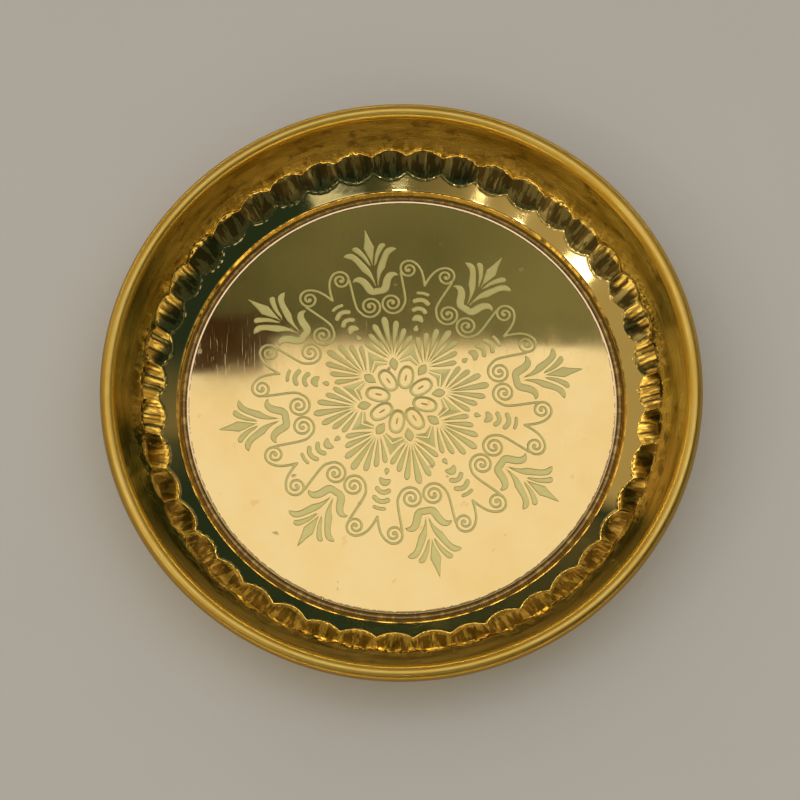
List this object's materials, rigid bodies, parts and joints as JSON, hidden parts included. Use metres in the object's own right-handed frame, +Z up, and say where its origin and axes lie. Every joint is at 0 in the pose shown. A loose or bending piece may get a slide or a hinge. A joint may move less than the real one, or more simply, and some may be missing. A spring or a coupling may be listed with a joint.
{
  "type": "brass tray",
  "caption": "Round shallow serving tray in polished brass with an etched rosette on its flat floor, a flaring wall with a row of rounded lobes, and a rolled edge.",
  "frame": {"origin": "centre of the tray, on the surface that its standing ring rests on", "axes": "+Z up along the axis of the tray; +X and +Y are horizontal, and the round tray has no front"},
  "size_m": [0.305, 0.305, 0.0433],
  "materials": {
    "polished_brass": "mirror polished, with fine scratches and light tarnish spots",
    "satin_brass": "satin, fine cross marks on the rolled edge",
    "etched_brass": "matte, acid-etched ground of the ornament",
    "brass_wire": "dull drawn wire"
  },
  "bodies": {
    "root": {"dish": "polished_brass", "rim_wire": "brass_wire"}
  },
  "joints": []
}
